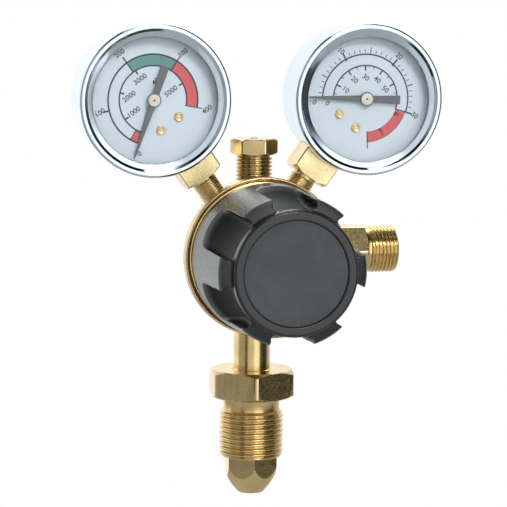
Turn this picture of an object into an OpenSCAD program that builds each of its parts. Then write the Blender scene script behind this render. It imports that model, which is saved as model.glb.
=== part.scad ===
// Gas regulator with two gauges, a rising hand knob, a hexagon inlet nut and a relief valve.
// Units are mm. X points to the outlet, -Y to the front, Z up.
// The origin is on the inlet thread's axis at the first crest below its relief.

/* [Inlet] */
// radius of the inlet nut's male thread
inlet_thread_r = 11.4555; // [9:0.0005:16]
// pitch of the inlet thread
inlet_pitch = 1.814; // [1:0.001:2.5]
// number of crests on the inlet thread
inlet_crests = 9; // [5:1:14]
// depth of the inlet thread
inlet_thread_depth = 1.1; // [0.5:0.05:1.4]
// across flats of the inlet nut
inlet_nut_flats = 28.6; // [24:0.5:38]
// height of the inlet nut's hexagon
inlet_nut_height = 10; // [6:0.5:16]
// length of the plain neck between the inlet nut's hexagon and its thread
inlet_neck = 5.4; // [3:0.1:8]
// angle the inlet nut is turned to at rest
inlet_nut_turn = 6.8; // [0:1:60]
// radius of the stem the inlet nut turns on
stem_r = 6.55; // [5:0.05:8]
// height of the body axis above the inlet thread's first crest
axis_h = 57.7; // [50:0.1:68]
// reach of the nipple's nose below the inlet thread
nose_len = 13.3; // [10:0.1:18]
// across flats of the nipple's nose
nose_flats = 17.4; // [14:0.1:18]
// angle the nipple's nose is turned to
nose_turn = 35; // [0:1:60]
// radius of the nose's flat tip
nose_tip_r = 4.5; // [3.5:0.1:6]

/* [Body] */
// radius of the body's front flange
flange_r = 28.2; // [26:0.1:36]
// width of the body's front flange
flange_w = 5; // [3:0.1:8]
// distance from the ports' plane to the flange's front face
flange_front = 17; // [16.5:0.1:20]
// radius of the body's barrel
barrel_r = 24; // [22.5:0.1:25.5]
// distance from the ports' plane to the body's back face
back_depth = 13; // [12:0.1:16]
// radius that the port bosses reach to
boss_reach = 24.5; // [24.3:0.1:27]

/* [Outlet] */
// radius of the outlet's male thread
outlet_thread_r = 8.331; // [7:0.0005:11]
// pitch of the outlet and relief threads
port_pitch = 1.337; // [1:0.001:1.8]
// number of crests on the outlet thread
outlet_crests = 7; // [4:1:10]
// across flats of the outlet hexagon
outlet_flats = 17; // [15:0.5:22]
// gap between the flange's rim and the outlet hexagon's inner face
outlet_hex_gap = 1.8; // [0.6:0.1:4]
// reach of the outlet hexagon's outer face from the body axis
outlet_hex_end = 40.8; // [38:0.5:46]
// radius of the outlet's gas bore
outlet_bore_r = 3; // [2:0.1:4]

/* [Relief valve] */
// across flats of the relief valve's hexagon
relief_flats = 14.85; // [13:0.05:18]
// height of the relief valve's hexagon
relief_hex_h = 5.7; // [4:0.1:9]
// height of the hexagon's lower face above the body axis
relief_hex_z = 34.8; // [32:0.1:40]
// angle the relief valve's hexagon is turned to
relief_turn = 17; // [0:1:60]
// radius of the threads screwed into the body's ports
port_thread_r = 6.5785; // [6:0.0005:7]

/* [Knob] */
// radius of the knob's skirt
knob_r = 26.9; // [24:0.1:32]
// height of the knob
knob_h = 40; // [36:0.5:52]
// gap between the ports' plane and the knob's base
knob_base = 22; // [21.5:0.1:25]
// radius of the knob's front ring
knob_ring_r = 21.6; // [20:0.1:24]
// number of lobes
knob_lobes = 6; // [5:1:8]
// half width of each scoop's flat floor
scoop_half = 6.1; // [3:0.1:7.5]
// radius at each scoop's corners
scoop_corner = 1.5; // [0.5:0.1:4]
// radius of each scoop's lowest point
scoop_floor = 20.6; // [20.4:0.1:24]
// radius of the scoop's long curve
scoop_curve = 45; // [35:1:80]
// radius of the disc in the knob's front
knob_cap_r = 18.1; // [16:0.1:20]
// radius of the adjusting screw's thread
screw_r = 5; // [4:0.1:6]
// pitch of the adjusting screw
screw_pitch = 1.5; // [1:0.05:2]

/* [Gauges] */
// angle of each gauge's stem from vertical
gauge_angle = 35; // [33:0.5:45]
// distance from the body axis to each gauge's centre
gauge_reach = 67; // [64:0.5:80]
// radius of the gauges' bezels
bezel_r = 26.8; // [25:0.1:32]
// width of the bezels' rounded front bead
bead_w = 3; // [2:0.1:4]
// width of the bezels' whole front face, bead and lip
lip_w = 4.7; // [3.5:0.1:6]
// distance from the ports' plane to the case's back
case_back = 11.5; // [11:0.1:16]
// thickness of the case's sheet
case_wall = 1; // [0.6:0.1:1.6]
// distance from the ports' plane to the dial's front face
dial_front = 8; // [8:0.1:12]
// thickness of the dial
dial_t = 0.8; // [0.4:0.1:1.2]
// clear height between the dial and the window
window_gap = 3.2; // [3:0.1:5]
// thickness of the window
window_t = 1.55; // [1:0.05:3]
// gap between the pointer's tip and the dial's rim
pointer_gap = 3.3; // [1:0.1:6]
// length of the pointer's tail
pointer_tail = 12.4; // [6:0.1:14]
// side of the square wrench block
block_side = 14; // [12:0.1:15]
// height of the wrench block's lower face from the gauge's centre, downward
block_low = 34.1; // [31:0.1:35]
// radius of the gauges' stem threads
gauge_thread_r = 4.864; // [4:0.001:6]
// angle of the contents dial in its case
contents_turn = 1; // [-6:0.5:6]
// angle of the flow dial in its case
flow_turn = -4.5; // [-6:0.5:6]

/* [Hidden] */
// clearance round threads that don't turn
thread_gap = 0.05;
// running clearance round parts that turn or slide
run_gap = 0.06;
// gap that keeps close sheets apart
slack = 0.3;

brass = [0.74, 0.64, 0.40];
bright = [0.86, 0.87, 0.89];
black = [0.10, 0.11, 0.12];
grey = [0.33, 0.35, 0.36];
steel = [0.62, 0.63, 0.65];
rubber = [0.08, 0.08, 0.08];
white = [0.88, 0.92, 0.95];
clear = [0.80, 0.88, 0.92, 0.35];

// stack along the body axis, measured forward from the ports' plane
low_floor = flange_front - 10.1;
low_r = 19.1;
dia_seat = flange_front - 6.6;
dia_t = 0.8;
ring_t = 0.8;
bonnet_back = dia_seat + dia_t + ring_t;
bonnet_r = flange_r - 1.85;
clamp_r = flange_r - 4.1;
step_r = flange_r - 1.8;
step_back = flange_front - 10;
groove_r = flange_r - 1;
tube_r = 17;
spring_bore_r = 15;
bonnet_front = knob_base + 25.5;
bonnet_wall = 6;
knob_front = knob_base + knob_h;
cavity_r = 18.2;
web_back = knob_front - 7.5;
cap_back = knob_front - 2.2;
cap_front = knob_front - 0.6;
seat_r = 5;
high_top = 1.5;
high_r = 7;
cap_thread_r = 8;
cap_thread_in = -back_depth + 5.6;
port_floor = 19.5;

// adjusting train
screw_tip = bonnet_front - bonnet_wall - 3.1;
ball_r = 3;
ball_f = screw_tip - ball_r - 0.02;
button_top = ball_f + 0.2;
button_mid = ball_f - 2.4;
button_back = ball_f - 4.9;
plate_front = bonnet_back + 1.6;
plate_back = dia_seat + dia_t;
pad_back = dia_seat - 1.4;
spring_wire = 2.5;
spring_mean_r = 11.8;

outlet_hex_in = flange_r + outlet_hex_gap;

// gauges
window_back = dial_front + window_gap;
window_front = window_back + window_t;
case_r = bezel_r - 1.1;
bead_r = bead_w / 2;
lip_r = bezel_r - lip_w;
dial_r = case_r - case_wall - 0.2;
pointer_len = dial_r - pointer_gap;
plate_t = 1;
front_plate_f = dial_front - dial_t - plate_t;
rear_plate_f = 1.2;
block_in_f = rear_plate_f;
block_in_z = -case_r + 3;
case_screw_z = -case_r + 8.2;
pinion_teeth = 14;
sector_teeth = 112;
gear_module = (case_r - 9.95) / 63;
pinion_pitch_r = gear_module * pinion_teeth / 2;
sector_pitch_r = gear_module * sector_teeth / 2;
gear_centres = pinion_pitch_r + sector_pitch_r;
pivot_angle = -20;
pivot_x = gear_centres * cos(pivot_angle);
pivot_z = gear_centres * sin(pivot_angle);
contents_rest = 215.4;
flow_rest = 217.5;
tube_mean_r = case_r - 6.5;
tube_start = 254;
tube_end = -8;
dial_screw_r = 10.9;
dial_screw_angle = 21;

$fn = 64;

// ---- shared shapes ----

// solid of revolution about the body axis, from points of radius and forward distance
module lathe(points) rotate([90, 0, 0]) rotate_extrude() polygon(points);

// puts a child's +Z forward, starting at forward distance f
module front(f) translate([0, -f, 0]) rotate([90, 0, 0]) children();

// turns a child's +Z to a port, clockwise from the top
module port(angle) translate([0, 0, axis_h]) rotate([0, angle, 0]) children();

// places a child in a gauge's own frame, with its stem down
module gauge(side) port(side * gauge_angle) translate([0, 0, gauge_reach]) children();

// as gauge, turned with the dial
module dial_frame(side) gauge(side) rotate([0, side < 0 ? -contents_turn : -flow_turn, 0]) children();

// outline of ring-shaped threads: first crest starts at z, roots lie inside
function thread_points(r, depth, pitch, crests, z) = [
    for (i = [0 : crests - 1], k = [0 : 3])
        if (i < crests - 1 || k < 2)
            [k < 2 ? r : r - depth, z + pitch * (i + [0, 0.3, 0.6, 0.7][k])]
];

// number of crests that fit from z to just short of end_z
function crests_between(z, end_z, pitch) = floor((end_z - 0.3 - z) / pitch + 0.7);

// threaded rod about Z, with a chamfer after the last crest
module thread_rod(r, depth, pitch, crests, z, end_z, lead = 0) {
    last = z + pitch * (crests - 0.7);
    rotate_extrude() polygon(concat(
        [[0, z - lead]], lead > 0 ? [[r - depth, z - lead]] : [], [[r - depth, z - lead * 0.4]],
        thread_points(r, depth, pitch, crests, z),
        [[r - depth, min(last + depth * 0.7, end_z)], [r - depth, end_z], [0, end_z]]));
}

// points of a line from p to q, bowed outward by a height in its middle
function bowed(p, q, height) = [
    for (i = [0 : 6])
        let (t = i / 6, way = (q - p) / norm(q - p))
        p + (q - p) * t + [way[1], -way[0]] * height * 4 * t * (1 - t)
];

// hexagon bar about Z with both ends chamfered
module hex_bar(flats, z, h, low = true, high = true) {
    corner = flats / sqrt(3);
    rim = flats / 2 - 0.2;
    fall = (corner - rim) * 0.55;
    intersection() {
        translate([0, 0, z]) rotate([0, 0, 30]) cylinder(r = corner, h = h, $fn = 6);
        rotate_extrude() polygon(concat(
            [[0, z]], low ? [[rim, z], [corner + 0.01, z + fall]] : [[corner + 0.01, z]],
            high ? [[corner + 0.01, z + h - fall], [rim, z + h]] : [[corner + 0.01, z + h]],
            [[0, z + h]]));
    }
}

// point on a coil of mean radius r, rising from z0 to z1 with closed ends
function coil_at(r, z0, z1, wire, turns, u) =
    let (a = 360 * turns * u, end = 0.8 / turns,
        s = u < end ? 0 : (u > 1 - end ? 1 : (u - end) / (1 - 2 * end)),
        lay = (u < end ? u / end : (u > 1 - end ? 1 + (u - 1 + end) / end : 1)) * wire * 0.8)
    [r * cos(a), r * sin(a), z0 + wire / 2 + lay + s * (z1 - z0 - wire * 2.6)];

// coil spring about Z from z0 to z1
module coil(r, z0, z1, wire, turns, steps = 20, sides = 8) {
    n = round(turns * steps);
    rings = [for (i = [0 : n])
        let (p = coil_at(r, z0, z1, wire, turns, i / n), a = 360 * turns * i / n)
        [for (k = [0 : sides - 1])
            let (b = 360 * k / sides)
            [p[0] + cos(a) * cos(b) * wire / 2, p[1] + sin(a) * cos(b) * wire / 2,
                p[2] + sin(b) * wire / 2]]];
    points = [for (g = rings, p = g) p];
    faces = concat(
        [[for (k = [0 : sides - 1]) k]],
        [for (i = [0 : n - 1], k = [0 : sides - 1])
            [i * sides + k, (i + 1) * sides + k, (i + 1) * sides + (k + 1) % sides,
                i * sides + (k + 1) % sides]],
        [[for (k = [sides - 1 : -1 : 0]) n * sides + k]]);
    polyhedron(points, faces, convexity = 10);
}

// ---- body and valve ----

module body() color(brass) {
    difference() {
        union() {
            translate([0, 0, axis_h]) lathe([
                [0, -back_depth], [barrel_r - 4, -back_depth], [barrel_r - 2.5, -back_depth + 1.5],
                [barrel_r, 0], [barrel_r, step_back - 2], [step_r - 0.5, step_back],
                [step_r, step_back + 0.6],
                [step_r, flange_front - flange_w], [flange_r - 0.4, flange_front - flange_w],
                [flange_r, flange_front - flange_w + 0.4], [flange_r, flange_front - 0.4],
                [flange_r - 0.4, flange_front], [0, flange_front]]);
            port(0) cylinder(r = 8.6, h = boss_reach);
            port(180) cylinder(r = 9.4, h = boss_reach + 1);
            port(90) cylinder(r = 9.8, h = boss_reach + 2);
            for (s = [-1, 1]) port(s * gauge_angle) cylinder(r = gauge_thread_r + 1.3, h = boss_reach);
        }
        translate([0, 0, axis_h]) {
            lathe([[0, low_floor], [low_r, low_floor], [low_r, dia_seat],
                [clamp_r + thread_gap, dia_seat], [clamp_r + thread_gap, bonnet_back + 0.6],
                [bonnet_r + thread_gap, bonnet_back + 0.6],
                [bonnet_r + thread_gap, flange_front - 1.6],
                [groove_r, flange_front - 1.6], [groove_r, flange_front + 1], [0, flange_front + 1]]);
            lathe([[0, -back_depth - 1], [cap_thread_r + thread_gap, -back_depth - 1],
                [cap_thread_r + thread_gap, cap_thread_in], [high_r, cap_thread_in],
                [high_r, high_top], [seat_r + thread_gap, high_top],
                [seat_r + thread_gap, low_floor + 1], [0, low_floor + 1]]);
        }
        // low-pressure ports: relief valve, outlet, flow gauge
        for (p = [[0, port_thread_r], [90, port_thread_r], [gauge_angle, gauge_thread_r]])
            port(p[0]) {
                translate([0, 0, port_floor]) cylinder(r = p[1] + thread_gap, h = 20);
                translate([0, 0, 15.8]) cylinder(r = 1.7, h = 6);
                translate([0, 0, 17.4]) front(-1.4) cylinder(r = 1.5, h = low_floor + 2.4);
            }
        // high-pressure ports: inlet and contents gauge
        for (p = [[180, stem_r], [-gauge_angle, gauge_thread_r]])
            port(p[0]) {
                translate([0, 0, port_floor]) cylinder(r = p[1] + thread_gap, h = 20);
                translate([0, 0, high_r - 2]) cylinder(r = 1.2, h = port_floor - high_r + 4);
            }
    }
}

module bonnet() color(brass) translate([0, 0, axis_h]) lathe([
    [spring_bore_r, bonnet_back], [clamp_r, bonnet_back], [clamp_r, bonnet_back + 0.7],
    [bonnet_r, bonnet_back + 0.7], [bonnet_r, flange_front - 1.7],
    [bonnet_r - 0.35, flange_front - 1.6], [bonnet_r - 0.35, flange_front + 0.2],
    [bonnet_r - 0.75, flange_front + 0.6], [tube_r + 1.5, flange_front + 1.2],
    [tube_r, flange_front + 2.7], [tube_r, bonnet_front - 1.5], [tube_r - 1.5, bonnet_front],
    [screw_r + run_gap, bonnet_front], [screw_r + run_gap, bonnet_front - bonnet_wall],
    [spring_bore_r - 1, bonnet_front - bonnet_wall], [spring_bore_r, bonnet_front - bonnet_wall - 1]]);

module slip_ring() color(steel) translate([0, 0, axis_h]) lathe([
    [spring_bore_r + 4, dia_seat + dia_t], [clamp_r - 0.1, dia_seat + dia_t],
    [clamp_r - 0.1, bonnet_back], [spring_bore_r + 4, bonnet_back]]);

module diaphragm() color(rubber) translate([0, 0, axis_h]) lathe([
    [2.5, dia_seat], [15.2, dia_seat], [16, dia_seat - 0.9], [18, dia_seat - 0.9],
    [18.8, dia_seat], [clamp_r - 0.1, dia_seat], [clamp_r - 0.1, dia_seat + dia_t],
    [19, dia_seat + dia_t], [18.1, dia_seat + dia_t - 0.9], [15.9, dia_seat + dia_t - 0.9],
    [15, dia_seat + dia_t], [2.5, dia_seat + dia_t]]);

module diaphragm_plate() color(steel) translate([0, 0, axis_h]) lathe([
    [0, pad_back + 0.2], [2.4, pad_back + 0.2], [2.4, plate_back], [14.2, plate_back],
    [14.6, plate_back + 0.4], [14.6, plate_front], [9, plate_front], [8, plate_front + 2.4],
    [0, plate_front + 2.4]]);

module diaphragm_pad() color(steel) translate([0, 0, axis_h]) lathe([
    [0, pad_back], [8.6, pad_back], [9, pad_back + 0.4], [9, dia_seat], [2.42, dia_seat],
    [2.42, pad_back + 0.2], [0, pad_back + 0.2]]);

module valve_seat() color(brass) translate([0, 0, axis_h]) difference() {
    union() {
        lathe([[0, high_top - 0.6], [2.6, high_top - 0.6], [3, high_top], [seat_r, high_top],
            [seat_r, low_floor], [0, low_floor]]);
        front(low_floor) cylinder(r = 6.2, h = 0.9, $fn = 6);
    }
    front(high_top - 2) cylinder(r = 1.7, h = low_floor + 4);
}

module valve_poppet() color(steel) translate([0, 0, axis_h]) lathe([
    [0, cap_thread_in - 0.7], [1.6, cap_thread_in - 0.7], [1.6, -2.1], [3.6, -2.1], [3.6, 0.4],
    [3.1, high_top - 0.6], [1, high_top - 0.6], [1, pad_back - 0.01], [0, pad_back - 0.01]]);

module valve_spring() color(steel) translate([0, 0, axis_h]) rotate([-90, 0, 0])
    coil(2.6, 2.15, -cap_thread_in - 0.05, 0.6, 4.5, 16, 6);

module valve_cap() color(brass) translate([0, 0, axis_h]) difference() {
    union() {
        rotate([-90, 0, 0]) {
            thread_rod(cap_thread_r, 0.6, 1.2, 4, -cap_thread_in + 0.4, back_depth, 0.4);
            difference() {
                translate([0, 0, back_depth]) cylinder(r = 11.2, h = 2);
                translate([0, 0, back_depth - 1]) difference() {
                    cylinder(r = 10.2, h = 2.5);
                    translate([0, 0, -1]) cylinder(r = cap_thread_r, h = 4.5);
                }
            }
            hex_bar(19, back_depth + 2, 5.5, low = false);
        }
    }
    front(cap_thread_in - 2) cylinder(r = 1.6 + run_gap, h = 4);
}

module valve_cap_o_ring() color(rubber) translate([0, 0, axis_h])
    rotate([-90, 0, 0]) translate([0, 0, back_depth + 0.75])
        rotate_extrude() translate([cap_thread_r + 1.1, 0]) circle(r = 0.74, $fn = 24);

// ---- inlet ----

module inlet_nipple() color(brass) port(180) {
    nose_z = axis_h + inlet_pitch * inlet_crests - 0.126;
    nose_r = nose_flats / sqrt(3) + 0.03;
    difference() {
        union() {
            thread_rod(stem_r, 0.5, 1.2, 4, port_floor + 1, port_floor + 6.4, 0.6);
            translate([0, 0, port_floor + 6.4]) cylinder(r = stem_r, h = nose_z - port_floor - 6.4);
            intersection() {
                translate([0, 0, nose_z]) rotate([0, 0, nose_turn])
                    cylinder(r = nose_flats / sqrt(3), h = nose_len, $fn = 6);
                translate([0, 0, nose_z]) rotate_extrude() polygon(concat(
                    [[0, 0], [nose_r, 0]],
                    bowed([nose_r, nose_len * 0.26], [nose_tip_r, nose_len], 0.8),
                    [[0, nose_len]]));
            }
        }
        translate([0, 0, port_floor]) cylinder(r = 2, h = axis_h + 40);
        translate([0, 0, nose_z + 3]) cylinder(r = 2.6, h = 30);
    }
}

module inlet_nut() color(brass) port(180) rotate([0, 0, inlet_nut_turn]) {
    low = axis_h - inlet_neck;
    end = axis_h + inlet_pitch * inlet_crests - 0.126;
    difference() {
        union() {
            hex_bar(inlet_nut_flats, low - inlet_nut_height, inlet_nut_height);
            translate([0, 0, low]) cylinder(r = inlet_thread_r - 1.35, h = inlet_neck);
            thread_rod(inlet_thread_r, inlet_thread_depth, inlet_pitch, inlet_crests, axis_h, end);
        }
        translate([0, 0, low - inlet_nut_height - 1]) cylinder(r = stem_r + run_gap, h = 60);
    }
}

module inlet_filter() color([0.55, 0.42, 0.28]) port(180)
    translate([0, 0, axis_h + inlet_pitch * inlet_crests + 3.2]) cylinder(r = 2.58, h = 7.4);

// ---- relief valve ----

module relief_body() color(brass) port(0) difference() {
    union() {
        thread_rod(port_thread_r, 0.86, port_pitch,
            crests_between(port_floor + 0.8, relief_hex_z, port_pitch),
            port_floor + 0.8, relief_hex_z, 0.3);
        rotate([0, 0, relief_turn]) hex_bar(relief_flats, relief_hex_z, relief_hex_h);
    }
    translate([0, 0, port_floor]) cylinder(r = 1.5, h = 4);
    translate([0, 0, port_floor + 2.6]) cylinder(r = 4.3, h = relief_hex_z - port_floor + 1.2);
    translate([0, 0, relief_hex_z]) cylinder(r = 1.2, h = 20);
}

module relief_seal() color(rubber) port(0)
    translate([0, 0, port_floor + 2.61]) cylinder(r = 2.6, h = 1);

module relief_poppet() color(brass) port(0) translate([0, 0, port_floor + 3.61]) difference() {
    union() {
        cylinder(r = 4.3 - run_gap, h = 3.4);
        cylinder(r = 1.7, h = 6.4);
    }
    for (a = [0 : 90 : 270])
        rotate([0, 0, a]) translate([3.6, -0.7, -1]) cube([2, 1.4, 6]);
}

module relief_spring() color(steel) port(0)
    coil(2.7, port_floor + 7.05, relief_hex_z + 3.75, 0.6, 6, 16, 6);

// ---- outlet ----

module outlet_connector() color(brass) port(90) {
    start = outlet_hex_end + 2;
    end = start + port_pitch * outlet_crests;
    difference() {
        union() {
            thread_rod(port_thread_r, 0.86, port_pitch,
                crests_between(port_floor + 0.8, outlet_hex_in, port_pitch),
                port_floor + 0.8, outlet_hex_in, 0.3);
            hex_bar(outlet_flats, outlet_hex_in, outlet_hex_end - outlet_hex_in);
            translate([0, 0, outlet_hex_end]) cylinder(r = outlet_thread_r - 1.1, h = 2);
            thread_rod(outlet_thread_r, 0.86, port_pitch, outlet_crests, start, end);
        }
        translate([0, 0, port_floor]) cylinder(r = outlet_bore_r, h = 60);
        translate([0, 0, end - 4.4]) cylinder(r1 = outlet_bore_r - 0.01, r2 = outlet_bore_r + 2.9, h = 4.5);
    }
}

module flow_restrictor() color(brass) port(90) translate([0, 0, port_floor + 3]) difference() {
    cylinder(r = outlet_bore_r - 0.02, h = 5);
    translate([0, 0, -1]) cylinder(r = 0.5, h = 8);
    translate([0, 0, 2]) cylinder(r = 1.6, h = 8);
}

// ---- knob and adjusting train ----

module scoops() for (i = [0 : knob_lobes - 1])
    rotate([0, 360 / knob_lobes * (i + 0.5), 0])
        translate([scoop_floor + scoop_curve, -(knob_base + 31), 0])
            rotate_extrude(angle = 66, start = 147) translate([scoop_curve, 0]) union() {
                translate([-12, -scoop_half - scoop_corner])
                    square([12 - scoop_corner, 2 * (scoop_half + scoop_corner)]);
                translate([-scoop_corner - 0.01, -scoop_half])
                    square([scoop_corner + 0.01, 2 * scoop_half]);
                for (s = [-1, 1]) translate([-scoop_corner, s * scoop_half])
                    circle(r = scoop_corner, $fn = 32);
            }

module knob() color(black) translate([0, 0, axis_h]) difference() {
    union() {
        difference() {
            lathe([[0, knob_base], [knob_r - 0.5, knob_base], [knob_r, knob_base + 0.5],
                [knob_r - 1, knob_front - 5.1], [knob_r - 1.7, knob_front - 4.1],
                [knob_ring_r, knob_front - 3.4], [0, knob_front - 3.4]]);
            scoops();
        }
        lathe([[0, knob_base + 14], [knob_ring_r - 2.4, knob_base + 14],
            [knob_ring_r - 1.2, knob_front - 5], [knob_ring_r, knob_front - 4.2],
            [knob_ring_r, knob_front - 0.7], [knob_ring_r - 0.7, knob_front], [0, knob_front]]);
    }
    lathe([[0, knob_base - 1], [knob_r - 2.4, knob_base - 1], [knob_r - 2.4, knob_base + 5],
        [cavity_r, knob_base + 12], [cavity_r, web_back], [0, web_back]]);
    lathe([[0, cap_back], [knob_cap_r + 0.03, cap_back], [knob_cap_r + 0.03, knob_front + 1],
        [0, knob_front + 1]]);
    lathe([[0, web_back - 1], [4, web_back - 1], [4, web_back + 2], [2.2, web_back + 2],
        [2.2, web_back + 2.6], [4.4, web_back + 2.6], [4.4, cap_back + 1], [0, cap_back + 1]]);
}

module knob_cap() color(grey) translate([0, 0, axis_h]) lathe([
    [0, cap_back], [knob_cap_r, cap_back], [knob_cap_r, cap_front - 0.4],
    [knob_cap_r - 0.4, cap_front], [0, cap_front]]);

module knob_screw() color(steel) translate([0, 0, axis_h]) difference() {
    lathe([[0, web_back - 6], [2, web_back - 6], [2, web_back + 2.6], [4.2, web_back + 2.6],
        [4.2, web_back + 4.6], [3.8, web_back + 5], [0, web_back + 5]]);
    front(web_back + 3.6) cylinder(r = 1.6, h = 3, $fn = 6);
}

module adjusting_screw() color(steel) translate([0, 0, axis_h]) difference() {
    union() {
        front(0) thread_rod(screw_r, 0.8, screw_pitch, 8, screw_tip + 1, web_back - 3.4, 1);
        front(web_back - 3.5) cylinder(r = screw_r - 0.8, h = 1.1);
        front(web_back - 2.5) cylinder(r = 7.6, h = 2.5);
        front(web_back - 0.1) cylinder(r = 3.95, h = 2.05);
    }
    front(web_back - 7) cylinder(r = 2.03, h = 12);
}

module thrust_ball() color(bright) translate([0, -ball_f, axis_h]) sphere(r = ball_r);

module spring_button() color(steel) translate([0, 0, axis_h]) difference() {
    lathe([[0, button_back - 2.5], [8.4, button_back - 2.5], [9.4, button_back],
        [13.8, button_back], [14.2, button_back + 0.4], [14.2, button_mid], [7, button_mid],
        [6, button_top], [0, button_top]]);
    translate([0, -ball_f, 0]) sphere(r = ball_r + 0.03);
    front(button_top - 0.4) cylinder(r = ball_r + 0.4, h = 3);
}

module adjusting_spring() color(steel) translate([0, 0, axis_h]) rotate([90, 0, 0])
    coil(spring_mean_r, plate_front + 0.02, button_back - 0.02, spring_wire, 4.6, 24, 10);

// ---- gauges ----

// square wrench block, inner block and stem thread
module socket(side) color(brass) {
    stem_end = gauge_reach - port_floor - 0.5;
    difference() {
        gauge(side) difference() {
            union() {
                intersection() {
                    translate([-block_side / 2, -block_side / 2, -block_low])
                        cube([block_side, block_side, block_low - case_r + 3.2]);
                    rotate_extrude() polygon([[0, -block_low], [block_side / 2 + 0.8, -block_low],
                        [block_side / 2 + 4, -block_low + 1.9], [block_side / 2 + 4, 0], [0, 0]]);
                }
                translate([-6, -block_in_f, block_in_z])
                    cube([12, block_in_f + case_back - case_wall, 10]);
                rotate([180, 0, 0])
                    thread_rod(gauge_thread_r, 0.58, 0.907,
                        crests_between(block_low + 1.4, stem_end, 0.907),
                        block_low + 1.4, stem_end, 1.5);
            }
            translate([0, 0, -60]) cylinder(r = 1.5, h = 60 + block_in_z + 5);
            for (s = [-1, 1]) translate([s * 3.6, 0, case_screw_z])
                front(-case_back - 1) cylinder(r = 1.1, h = 6.4);
        }
        dial_frame(side) {
            tube_shape(tube_start + 4, 12, 0.03);
            translate([0, 1.2, 0.9 - tube_mean_r]) rotate([0, -90, 0]) cylinder(r = 0.8, h = 5.6);
        }
    }
}

// flattened tube about the gauge's axis, from angle a down through sweep degrees
module tube_shape(a, sweep, grow = 0)
    front(0) rotate([0, 0, a - sweep]) rotate_extrude(angle = sweep) {
        translate([tube_mean_r - 0.8 - grow, -6 - grow]) square([1.6 + 2 * grow, 6 + 2 * grow]);
    }

module bourdon_tube(side) color([0.78, 0.60, 0.38]) dial_frame(side) difference() {
    union() {
        tube_shape(tube_start, tube_start - tube_end);
        rotate([0, -tube_end, 0]) translate([tube_mean_r, 0, 0.4]) front(0) cylinder(r = 1.5, h = 2.6);
    }
    front(-5.6) rotate([0, 0, tube_end + 5]) rotate_extrude(angle = tube_start - tube_end - 6)
        translate([tube_mean_r - 0.35, 0]) square([0.7, 5.2]);
    rotate([0, -tube_end, 0]) translate([tube_mean_r, 0, 0.4]) front(1.2) cylinder(r = 0.45, h = 3);
}

module case(side) color(bright) gauge(side) difference() {
    lathe([[0, -case_back], [case_r - 2, -case_back], [case_r - 0.6, -case_back + 0.6],
        [case_r, -case_back + 2], [case_r, window_back - 0.02],
        [case_r - case_wall, window_back - 0.02], [case_r - case_wall, -case_back + 2.2],
        [case_r - case_wall - 1.2, -case_back + case_wall], [0, -case_back + case_wall]]);
    translate([-block_side / 2 - 0.06, -block_side / 2 - 0.06, -case_r - 2])
        cube([block_side + 0.12, block_side + 0.12, 6]);
    translate([0, 0, 9]) front(-case_back - 1) cylinder(r = 5, h = 4);
    for (s = [-1, 1])
        translate([s * 3.6, 0, case_screw_z]) front(-case_back - 1) cylinder(r = 1.3, h = 4);
}

module bezel(side) color(bright) gauge(side) rotate([90, 0, 0]) rotate_extrude() {
    translate([case_r + 0.02, window_back - 3.4])
        square([bezel_r - case_r - 0.02, 3.4 + window_t + 0.05]);
    intersection() {
        union() {
            translate([bezel_r - bead_r, window_front + 0.02]) circle(r = bead_r, $fn = 48);
            polygon([[lip_r, window_front], [bezel_r - bead_r, window_front],
                [bezel_r - bead_r, window_front + bead_r - 0.2], [lip_r, window_front + 0.3]]);
        }
        translate([lip_r, window_front + 0.02]) square([lip_w + 1, bead_r + 1]);
    }
}

module window(side) color(clear) gauge(side)
    front(window_back) cylinder(r = case_r - 0.1, h = window_t);

module dial(side) color(white) dial_frame(side) difference() {
    front(dial_front - dial_t) cylinder(r = dial_r, h = dial_t);
    front(0) cylinder(r = 1.4, h = 20);
    dial_screw_places() cylinder(r = 1.1, h = 20);
}

module dial_screw_places() for (s = [-1, 1])
    rotate([0, s * dial_screw_angle, 0]) translate([0, 0, -dial_screw_r]) front(0) children();

module dial_screws(side) color(brass) dial_frame(side) dial_screw_places() difference() {
    union() {
        translate([0, 0, front_plate_f - 0.6]) cylinder(r = 0.98, h = dial_front - front_plate_f + 1);
        translate([0, 0, dial_front]) cylinder(r = 1.65, h = 0.5);
        translate([0, 0, dial_front + 0.49]) cylinder(r1 = 1.65, r2 = 1.2, h = 0.4);
    }
    translate([-2, -0.2, dial_front + 0.45]) cube([4, 0.4, 1]);
}

// pointer at its rest angle, which is measured anticlockwise from the gauge's +X
module pointer(side) color(grey) dial_frame(side) front(0)
    rotate([0, 0, side < 0 ? contents_rest : flow_rest]) difference() {
        union() {
            translate([0, 0, dial_front + 1.4]) linear_extrude(0.5) polygon([
                [-pointer_tail, -1.5], [-pointer_tail, 1.5], [-3.4, 1.2], [0, 1.3],
                [pointer_len - 0.6, 0.32], [pointer_len, 0], [pointer_len - 0.6, -0.32],
                [0, -1.3], [-3.4, -1.2]]);
            translate([0, 0, dial_front + 0.9]) cylinder(r = 1.9, h = 1);
            translate([0, 0, dial_front + 1.85]) cylinder(r = 2.5, h = 0.65);
        }
        cylinder(r = 0.42, h = dial_front + 2.2);
    }

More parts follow.
